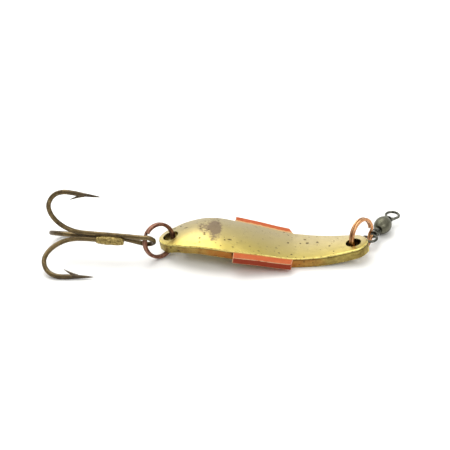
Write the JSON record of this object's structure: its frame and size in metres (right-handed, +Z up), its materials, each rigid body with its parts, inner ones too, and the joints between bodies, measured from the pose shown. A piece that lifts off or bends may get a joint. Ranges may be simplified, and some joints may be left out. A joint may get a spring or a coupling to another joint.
{
  "type": "spoon lure",
  "caption": "S-bent brass spoon lure with painted side fins, a split ring through a hole at each end, a treble hook and a barrel swivel.",
  "frame": {"origin": "middle of the lure's footprint, on the surface it lies on", "axes": "+X from the treble hook towards the nose, along the spoon's length; +Z up"},
  "size_m": [0.107, 0.0404, 0.0232],
  "materials": {
    "polished_brass": "polished, worn, with small pits and a tarnish patch",
    "tarnished_copper": "copper-plated spring steel, tarnished dark",
    "bright_copper": "copper-plated spring steel, bright",
    "bronzed_wire": "bronzed hardened steel wire",
    "golden_braze": "rough brass filler",
    "gunmetal_wire": "black nickel on steel wire",
    "gunmetal_barrel": "black nickel on brass"
  },
  "bodies": {
    "spoon": {"spoon_body": "polished_brass"},
    "tail_ring": {"tail_split_ring": "tarnished_copper"},
    "treble": {"treble_twin_hook": "bronzed_wire", "treble_single_hook": "bronzed_wire", "treble_braze": "golden_braze"},
    "nose_ring": {"nose_split_ring": "bright_copper"},
    "lure_eye": {"swivel_lure_eye": "gunmetal_wire"},
    "barrel": {"swivel_barrel": "gunmetal_barrel"},
    "line_eye": {"swivel_line_eye": "gunmetal_wire"}
  },
  "joints": [
    {"name": "tail_ring_swing", "type": "hinge", "parent": "spoon", "child": "tail_ring", "pos_m": [-0.01873, -0.00299, 0.00343], "axis": [-0.5813, 0.7714, -0.2588], "range_deg": [-85, 18]},
    {"name": "treble_swing", "type": "hinge", "parent": "tail_ring", "child": "treble", "pos_m": [-0.02321, -0.00783, 0.00682], "axis": [0.0704, 0.3646, 0.9285], "range_deg": [-60, 60]},
    {"name": "nose_ring_swing", "type": "hinge", "parent": "spoon", "child": "nose_ring", "pos_m": [0.04232, -0.00299, 0.00392], "axis": [0.8046, -0.5846, 0.1045], "range_deg": [-85, 18]},
    {"name": "swivel_swing", "type": "hinge", "parent": "nose_ring", "child": "lure_eye", "pos_m": [0.04398, 0.00323, 0.00266], "axis": [0.2832, 0.5324, 0.7977], "range_deg": [-34, 24]},
    {"name": "barrel_spin", "type": "hinge", "parent": "lure_eye", "child": "barrel", "pos_m": [0.04807, 0.01161, 0.00266], "axis": [0.4384, 0.8988, 0], "continuous": true},
    {"name": "line_eye_spin", "type": "hinge", "parent": "barrel", "child": "line_eye", "pos_m": [0.04807, 0.01161, 0.00266], "axis": [0.4384, 0.8988, 0], "continuous": true}
  ]
}
